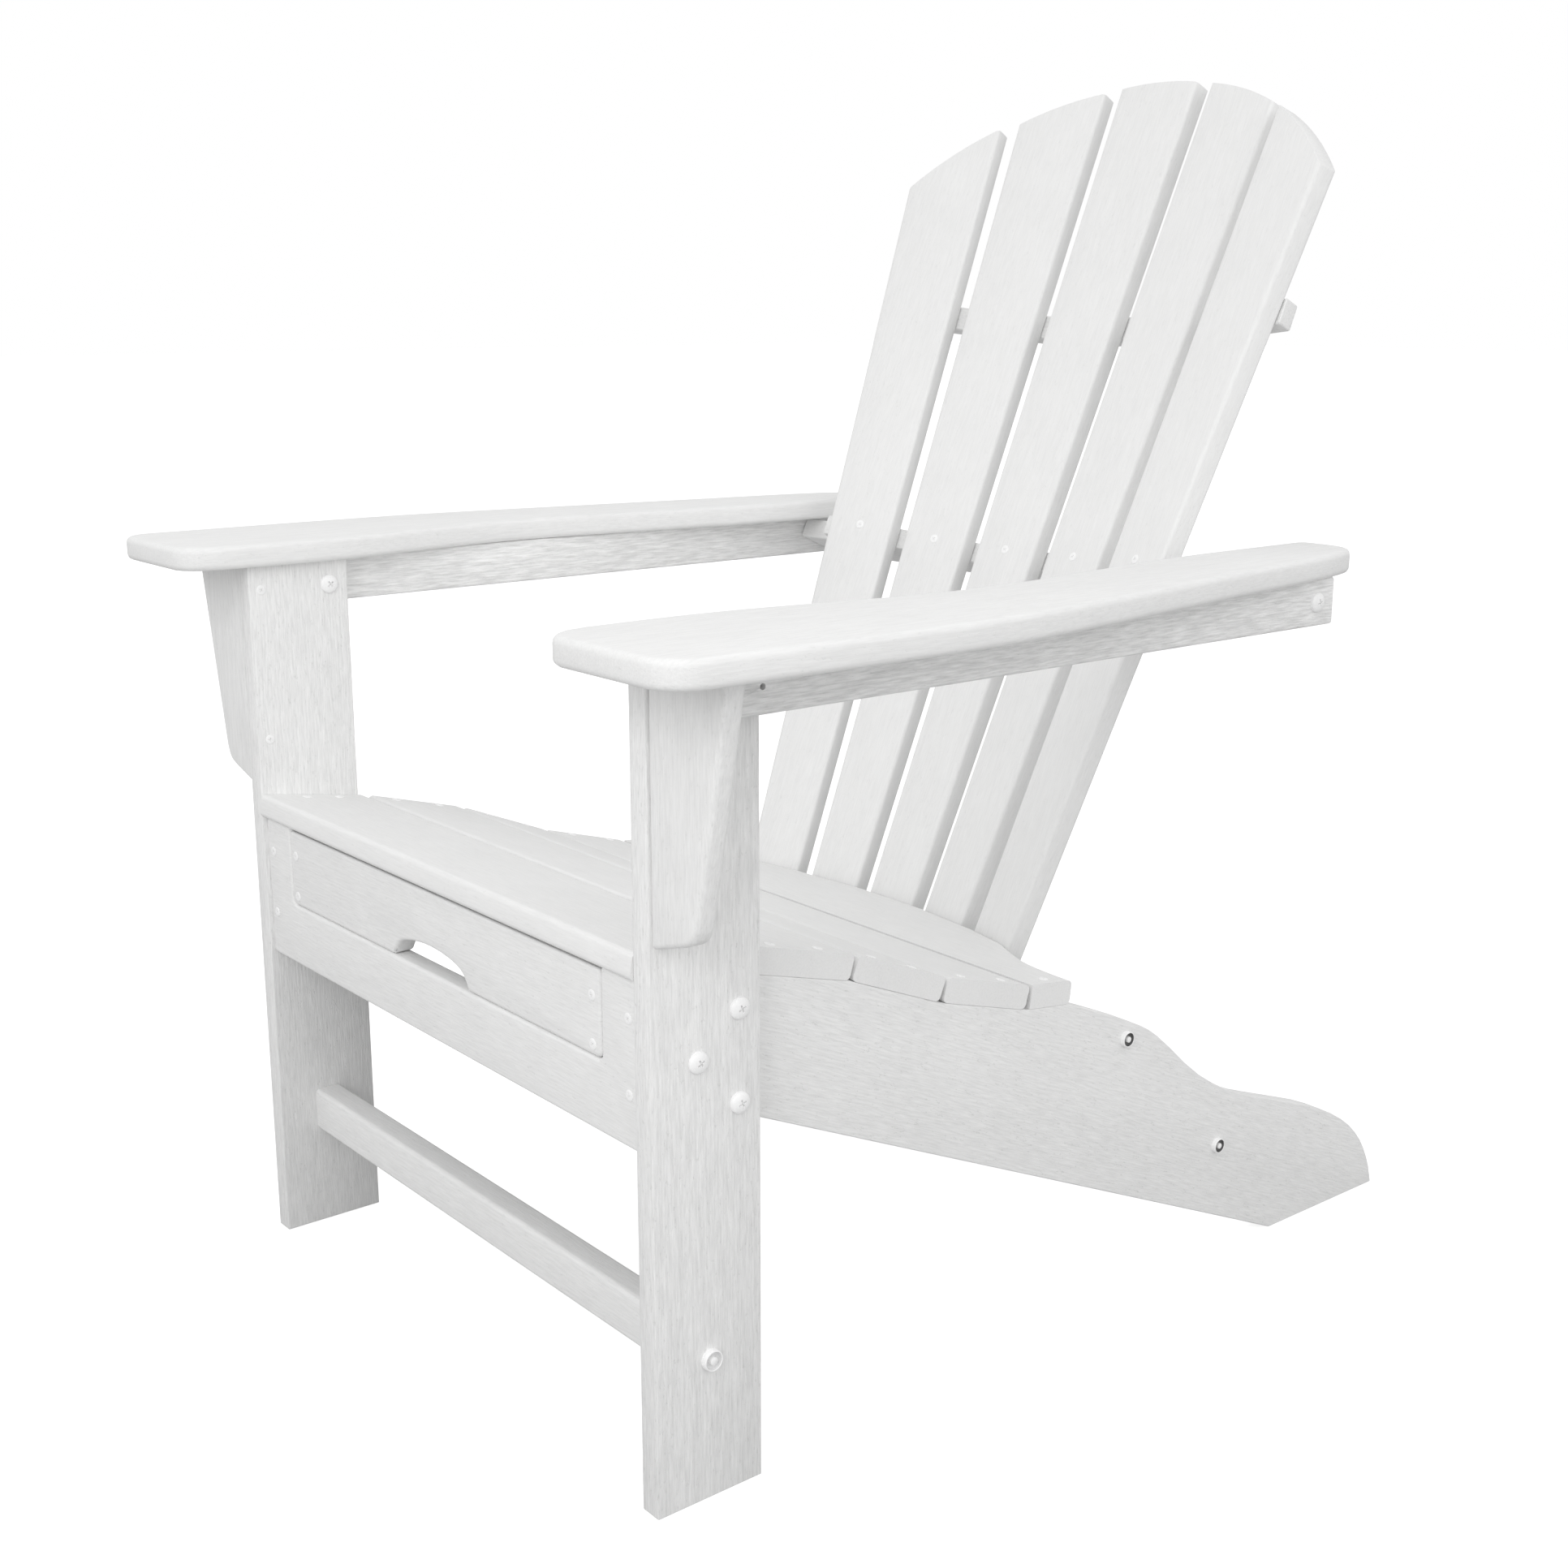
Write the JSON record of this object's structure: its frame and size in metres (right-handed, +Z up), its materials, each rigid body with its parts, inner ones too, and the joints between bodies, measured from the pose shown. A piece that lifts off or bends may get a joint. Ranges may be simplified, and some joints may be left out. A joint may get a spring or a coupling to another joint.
{
  "type": "adirondack chair",
  "caption": "Low slatted garden lounge chair with a fanned, raked back, broad flat arms, sloping seat and a footrest that slides out from under the seat.",
  "frame": {"origin": "centre of the footprint, at floor level", "axes": "+Z up, the chair faces -Y, +X is towards the sitter's left hand"},
  "size_m": [0.8002, 0.89, 0.9936],
  "materials": {
    "lumber": "matte, with a fine brushed grain",
    "bolts": "satin white"
  },
  "bodies": {
    "chair": {"arm_rail_left": "lumber", "arm_rail_right": "lumber", "armrest_left": "lumber", "armrest_right": "lumber", "back_board_centre": "lumber", "back_board_inner_left": "lumber", "back_board_inner_right": "lumber", "back_board_outer_left": "lumber", "back_board_outer_right": "lumber", "back_bolt_left": "bolts", "back_bolt_right": "bolts", "back_support_bottom": "lumber", "back_support_middle": "lumber", "back_support_top": "lumber", "brace_bolt_left": "bolts", "brace_bolt_right": "bolts", "corbel_left": "lumber", "corbel_right": "lumber", "front_apron": "lumber", "front_leg_left": "lumber", "front_leg_right": "lumber", "front_stretcher": "lumber", "leg_bolt_lower_left": "bolts", "leg_bolt_lower_right": "bolts", "leg_bolt_middle_left": "bolts", "leg_bolt_middle_right": "bolts", "leg_bolt_upper_left": "bolts", "leg_bolt_upper_right": "bolts", "rail_bolt_front_left": "bolts", "rail_bolt_front_right": "bolts", "rail_bolt_rear_left": "bolts", "rail_bolt_rear_right": "bolts", "rear_brace": "lumber", "seat_board_1": "lumber", "seat_board_2": "lumber", "seat_board_3": "lumber", "seat_board_4": "lumber", "seat_board_5": "lumber", "side_stringer_left": "lumber", "side_stringer_right": "lumber", "slide_guide_left": "lumber", "slide_guide_right": "lumber", "slide_stop_left": "lumber", "slide_stop_right": "lumber", "stretcher_bolt_left": "bolts", "stretcher_bolt_right": "bolts"},
    "footrest": {"footrest_board_1": "lumber", "footrest_board_2": "lumber", "footrest_board_3": "lumber", "footrest_board_4": "lumber", "footrest_front": "lumber", "footrest_rear_bar": "lumber", "footrest_runner_left": "lumber", "footrest_runner_right": "lumber"}
  },
  "joints": [
    {"name": "footrest_slide", "type": "slide", "parent": "chair", "child": "footrest", "axis": [0, -0.9613, 0.2756], "range_m": [0, 0.27]}
  ]
}
